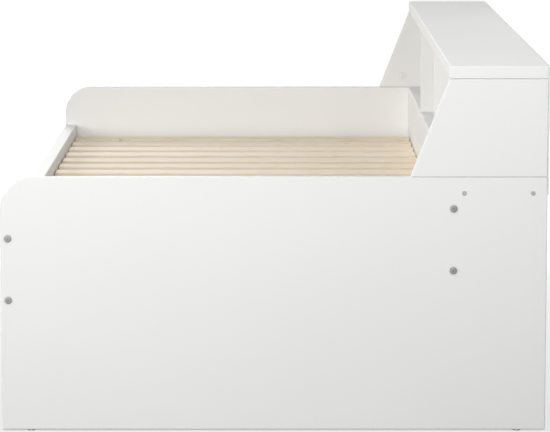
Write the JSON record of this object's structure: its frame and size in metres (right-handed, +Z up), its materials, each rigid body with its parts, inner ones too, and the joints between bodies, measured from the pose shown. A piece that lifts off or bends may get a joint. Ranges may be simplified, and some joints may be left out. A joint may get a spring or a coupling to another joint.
{
  "type": "bookcase bed",
  "caption": "Single bed of white board with pine slats, a low side rail, rounded end panels and an open slant-sided bookcase along one long side.",
  "frame": {"origin": "on the floor under the middle of the bed's outline, from the outer rail's outer face to the back panel's outer face", "axes": "+Z up; +Y along the bed, away from the near end panel; +X from the outer side rail to the bookcase"},
  "size_m": [1.143, 2.056, 0.77],
  "materials": {
    "white_board": "particle board with smooth satin white laminate on all faces and edges",
    "white_hardboard": "thin hardboard, white lacquered",
    "slat_pine": "planed untreated pine",
    "batten_pine": "planed untreated pine",
    "beech_dowel": "fluted beech, unfinished",
    "zinc_steel": "zinc-plated steel, dull",
    "wood_screw_steel": "zinc-plated steel",
    "nail_steel": "bright steel wire",
    "cast_zinc": "die-cast zinc, matt",
    "cap_plastic": "white moulded plastic, satin",
    "glide_plastic": "hard white plastic"
  },
  "bodies": {
    "root": {"end_panel_near": "white_board", "end_panel_far": "white_board", "outer_rail": "white_board", "bookcase_rail": "white_board", "bookcase_side_near": "white_board", "bookcase_side_far": "white_board", "bookcase_top": "white_board", "bookcase_shelf": "white_board", "divider_near": "white_board", "divider_far": "white_board", "back_panel": "white_hardboard", "cleat_outer": "batten_pine", "cleat_bookcase": "batten_pine", "shelf_batten_front": "batten_pine", "shelf_batten_rear": "batten_pine", "slat_01": "slat_pine", "slat_02": "slat_pine", "slat_03": "slat_pine", "slat_04": "slat_pine", "slat_05": "slat_pine", "slat_06": "slat_pine", "slat_07": "slat_pine", "slat_08": "slat_pine", "slat_09": "slat_pine", "slat_10": "slat_pine", "slat_11": "slat_pine", "slat_12": "slat_pine", "slat_13": "slat_pine", "slat_14": "slat_pine", "slat_15": "slat_pine", "slat_16": "slat_pine", "rail_dowels": "beech_dowel", "shelf_dowels": "beech_dowel", "bookcase_dowels": "beech_dowel", "rail_bolts": "zinc_steel", "barrel_nuts": "zinc_steel", "panel_screws": "zinc_steel", "batten_screws": "wood_screw_steel", "cleat_screws": "wood_screw_steel", "slat_screws": "wood_screw_steel", "back_panel_nails": "nail_steel", "cam_discs": "cast_zinc", "cam_caps": "cap_plastic", "cam_bolts": "zinc_steel", "floor_glides": "glide_plastic"}
  },
  "joints": []
}
